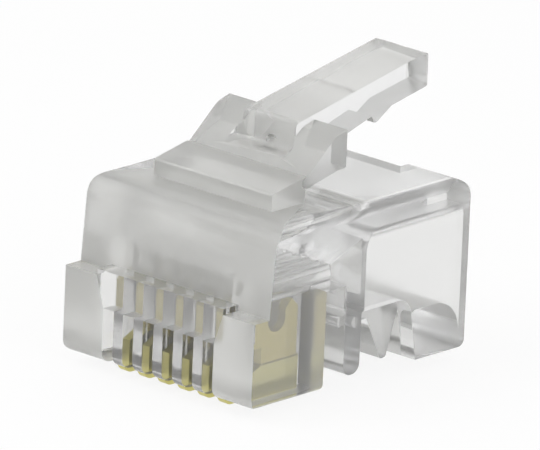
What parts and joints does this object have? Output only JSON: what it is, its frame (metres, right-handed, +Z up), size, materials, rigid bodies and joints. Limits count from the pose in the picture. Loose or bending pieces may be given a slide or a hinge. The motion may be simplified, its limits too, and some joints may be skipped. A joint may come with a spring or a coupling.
{
  "type": "six position modular plug",
  "caption": "Clear moulded modular plug with a sprung thumb latch, a slotted comb of gold plated blade contacts and a hinged cable anchor, ready to be crimped onto flat cable.",
  "frame": {"origin": "bottom centre of the plug's box, level with the underside of the uncrimped contacts", "axes": "+X across the plug, +Y from the nose to the cable end, +Z up towards the latch"},
  "size_m": [0.0096, 0.0134, 0.0111],
  "materials": {
    "clear_polycarbonate": "clear moulded polycarbonate",
    "gold_plate": "gold plated stamped copper alloy"
  },
  "bodies": {
    "housing": {"housing": "clear_polycarbonate"},
    "latch": {"latch": "clear_polycarbonate"},
    "cable_anchor": {"cable_anchor": "clear_polycarbonate"},
    "contact_1": {"contact_1": "gold_plate"},
    "contact_2": {"contact_2": "gold_plate"},
    "contact_3": {"contact_3": "gold_plate"},
    "contact_4": {"contact_4": "gold_plate"},
    "contact_5": {"contact_5": "gold_plate"},
    "contact_6": {"contact_6": "gold_plate"}
  },
  "joints": [
    {"name": "latch_press", "type": "hinge", "parent": "housing", "child": "latch", "pos_m": [0, -0.00208, 0.00803], "axis": [-1, 0, 0], "range_deg": [0, 15.5], "stiffness_Nm_per_rad": 0.1},
    {"name": "anchor_crimp", "type": "hinge", "parent": "housing", "child": "cable_anchor", "pos_m": [0, -0.00068, 0.00266], "axis": [1, 0, 0], "range_deg": [0, 25]},
    {"name": "contact_1_crimp", "type": "slide", "parent": "housing", "child": "contact_1", "axis": [0, 0, 1], "range_m": [0, 0.0009]},
    {"name": "contact_2_crimp", "type": "slide", "parent": "housing", "child": "contact_2", "axis": [0, 0, 1], "range_m": [0, 0.0009]},
    {"name": "contact_3_crimp", "type": "slide", "parent": "housing", "child": "contact_3", "axis": [0, 0, 1], "range_m": [0, 0.0009]},
    {"name": "contact_4_crimp", "type": "slide", "parent": "housing", "child": "contact_4", "axis": [0, 0, 1], "range_m": [0, 0.0009]},
    {"name": "contact_5_crimp", "type": "slide", "parent": "housing", "child": "contact_5", "axis": [0, 0, 1], "range_m": [0, 0.0009]},
    {"name": "contact_6_crimp", "type": "slide", "parent": "housing", "child": "contact_6", "axis": [0, 0, 1], "range_m": [0, 0.0009]}
  ]
}
